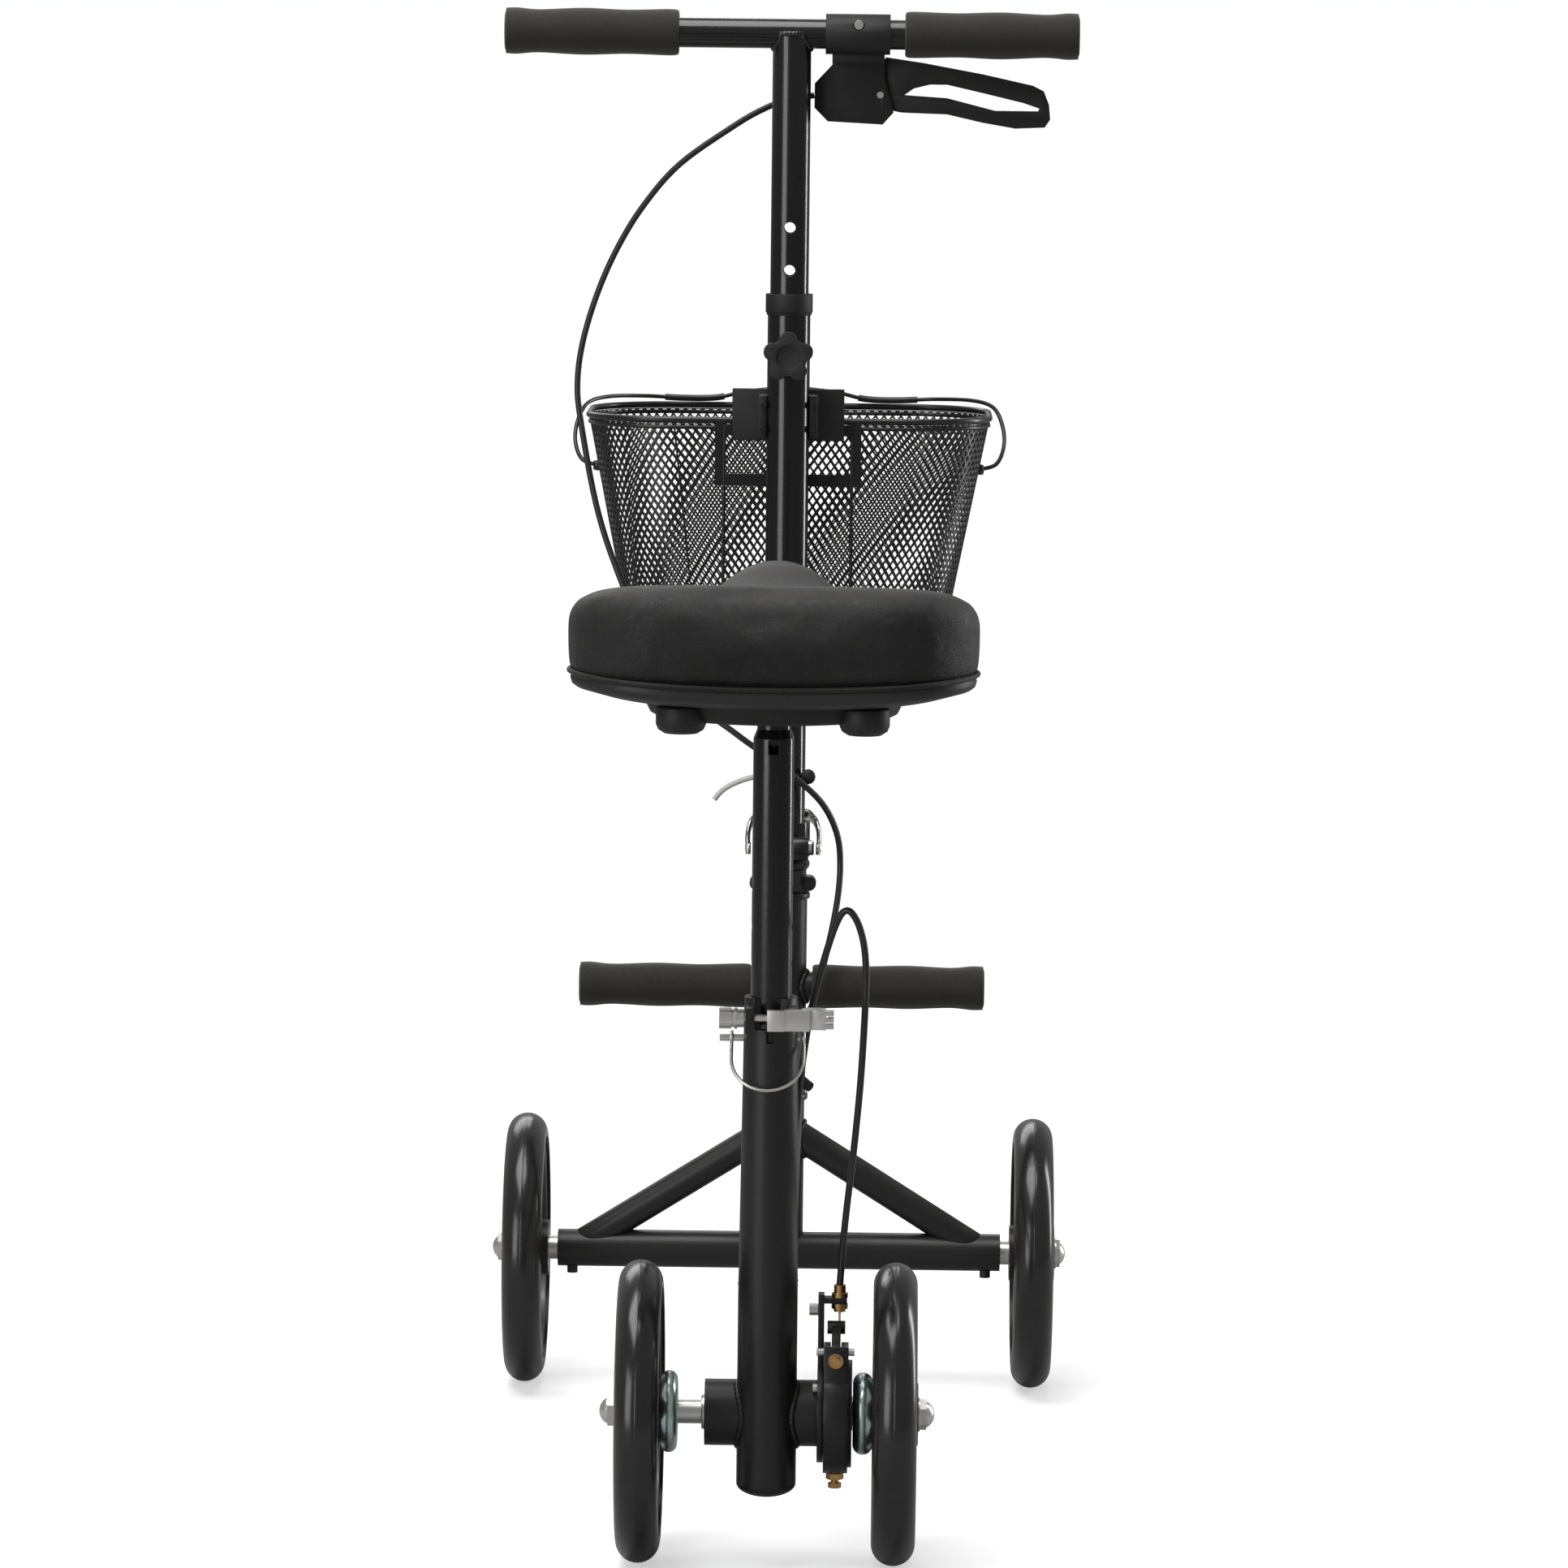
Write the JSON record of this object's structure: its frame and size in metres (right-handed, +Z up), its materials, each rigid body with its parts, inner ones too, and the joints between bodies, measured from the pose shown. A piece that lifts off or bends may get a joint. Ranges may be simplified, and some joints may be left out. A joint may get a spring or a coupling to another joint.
{
  "type": "seated leg scooter",
  "caption": "Seated leg scooter with a wide saddle, fold-down steering column, basket, foot rests and a lever-worked band brake.",
  "frame": {"origin": "floor point under the middle of the whole object's box", "axes": "+Y forward, +X to the rider's right, +Z up"},
  "size_m": [0.433, 1.008, 1.0344],
  "materials": {
    "frame_paint": "satin black powder coat",
    "tube_paint": "semi-gloss black paint",
    "cast_black": "matt black paint on castings",
    "steel": "bright steel",
    "chrome": "dark bright plating",
    "zinc": "zinc plated, faint green cast",
    "cast_alloy": "satin cast aluminium",
    "brass": "yellow passivated",
    "black_plastic": "fine-grained black nylon",
    "knob_plastic": "dark grey moulded plastic",
    "rim_plastic": "black moulded rim",
    "tyre": "glossy black polyurethane",
    "foam": "closed-cell foam, matt",
    "bumper": "black elastomer",
    "vinyl": "black vinyl, satin grain",
    "mesh": "black coated wire mesh",
    "cable": "black PVC cable cover",
    "tie": "natural nylon"
  },
  "bodies": {
    "frame": {"main_beam": "frame_paint", "seat_tube": "frame_paint", "axle_housing": "frame_paint", "rear_bearings": "steel", "head_tube": "frame_paint", "headset_cups": "cast_black", "foot_bar": "frame_paint", "foot_grips": "foam", "brake_back_plate": "cast_black", "brake_case": "cast_black", "brake_band": "steel", "brake_screws": "steel", "brake_adjusters": "brass", "cable_stop": "brass", "clamp_skewer": "steel", "cable_lower": "cable"},
    "steering": {"steerer": "frame_paint", "front_axle_tube": "frame_paint", "front_axle_rod": "steel", "axle_braces": "frame_paint", "front_bearings": "steel", "fold_base": "cast_black", "fold_pin": "steel"},
    "column": {"column_tube": "tube_paint", "column_collar": "black_plastic", "basket_bracket": "black_plastic", "bracket_bolts": "cast_black", "cable_tie": "tie", "cable_middle": "cable"},
    "latch": {"fold_latch": "chrome"},
    "knob": {"height_knob": "knob_plastic"},
    "handlebar_set": {"stem_tube": "tube_paint", "handlebar": "tube_paint", "hand_grips": "foam", "brake_bracket": "black_plastic", "lever_fasteners": "steel", "cable_upper": "cable"},
    "lever": {"brake_lever": "black_plastic"},
    "basket": {"basket_mesh": "mesh", "basket_frame": "mesh"},
    "bail": {"basket_bail": "mesh"},
    "seat": {"seat_post": "tube_paint", "saddle_clamp": "cast_black", "saddle_rails": "steel", "saddle_base": "black_plastic", "saddle_cushion": "vinyl", "saddle_bumpers": "bumper"},
    "arm": {"brake_arm": "cast_black"},
    "hitch": {"hitch_pin": "steel", "hitch_ring": "steel"},
    "cam": {"clamp_lever": "cast_alloy"},
    "front_wheel_left": {"front_tyre_left": "tyre", "front_rim_left": "rim_plastic"},
    "front_wheel_right": {"front_tyre_right": "tyre", "front_rim_right": "rim_plastic"},
    "rear_wheels": {"rear_tyres": "tyre", "rear_rims": "rim_plastic", "rear_shaft": "steel", "hub_flanges": "zinc", "brake_drum": "steel"}
  },
  "joints": [
    {"name": "steering", "type": "hinge", "parent": "frame", "child": "steering", "pos_m": [0, 0.272, 0.3], "axis": [0, 0, 1], "range_deg": [-40, 40], "deforming": ["cable_lower"]},
    {"name": "column_fold", "type": "hinge", "parent": "steering", "child": "column", "pos_m": [0, 0.247, 0.412], "axis": [1, 0, 0], "range_deg": [0, 60], "deforming": ["cable_middle"]},
    {"name": "handlebar_height", "type": "slide", "parent": "column", "child": "handlebar_set", "axis": [0, 0, 1], "range_m": [-0.09525, 0.09525], "deforming": ["cable_upper"]},
    {"name": "fold_latch", "type": "hinge", "parent": "steering", "child": "latch", "pos_m": [0, 0.274, 0.407], "axis": [-1, 0, 0], "range_deg": [0, 80]},
    {"name": "height_knob", "type": "hinge", "parent": "column", "child": "knob", "pos_m": [0, 0.242, 0.778], "axis": [0, -1, 0], "continuous": true},
    {"name": "brake_lever", "type": "hinge", "parent": "handlebar_set", "child": "lever", "pos_m": [0.066, 0.296, 0.972], "axis": [0, -1, 0], "range_deg": [0, 14], "stiffness_Nm_per_rad": 0.8, "springref_deg": -5.73},
    {"name": "basket_lift", "type": "slide", "parent": "column", "child": "basket", "axis": [0, 0, 1], "range_m": [0, 0.04]},
    {"name": "basket_handle", "type": "hinge", "parent": "basket", "child": "bail", "pos_m": [0, 0.39435, 0.686], "axis": [1, 0, 0], "range_deg": [0, 100]},
    {"name": "seat_height", "type": "slide", "parent": "frame", "child": "seat", "axis": [0, 0, -1], "range_m": [-0.05, 0.1]},
    {"name": "seat_clamp", "type": "hinge", "parent": "frame", "child": "cam", "pos_m": [0.029, -0.403, 0.3735], "axis": [0, 0, 1], "range_deg": [0, 140]},
    {"name": "hitch_ring", "type": "hinge", "parent": "frame", "child": "hitch", "pos_m": [0, -0.379, 0.357], "axis": [-1, 0, 0], "range_deg": [0, 55]},
    {"name": "brake_arm", "type": "hinge", "parent": "frame", "child": "arm", "pos_m": [0.046, -0.388, 0.147], "axis": [1, 0, 0], "range_deg": [0, 8]},
    {"name": "front_left_spin", "type": "hinge", "parent": "steering", "child": "front_wheel_left", "pos_m": [-0.191, 0.272, 0.1015], "axis": [1, 0, 0], "continuous": true},
    {"name": "front_right_spin", "type": "hinge", "parent": "steering", "child": "front_wheel_right", "pos_m": [0.191, 0.272, 0.1015], "axis": [1, 0, 0], "continuous": true},
    {"name": "rear_axle_spin", "type": "hinge", "parent": "frame", "child": "rear_wheels", "pos_m": [0, -0.368, 0.1015], "axis": [1, 0, 0], "continuous": true}
  ],
  "couplings": [
    {"joint": "brake_arm", "follows": "brake_lever", "ratio": 0.5}
  ]
}
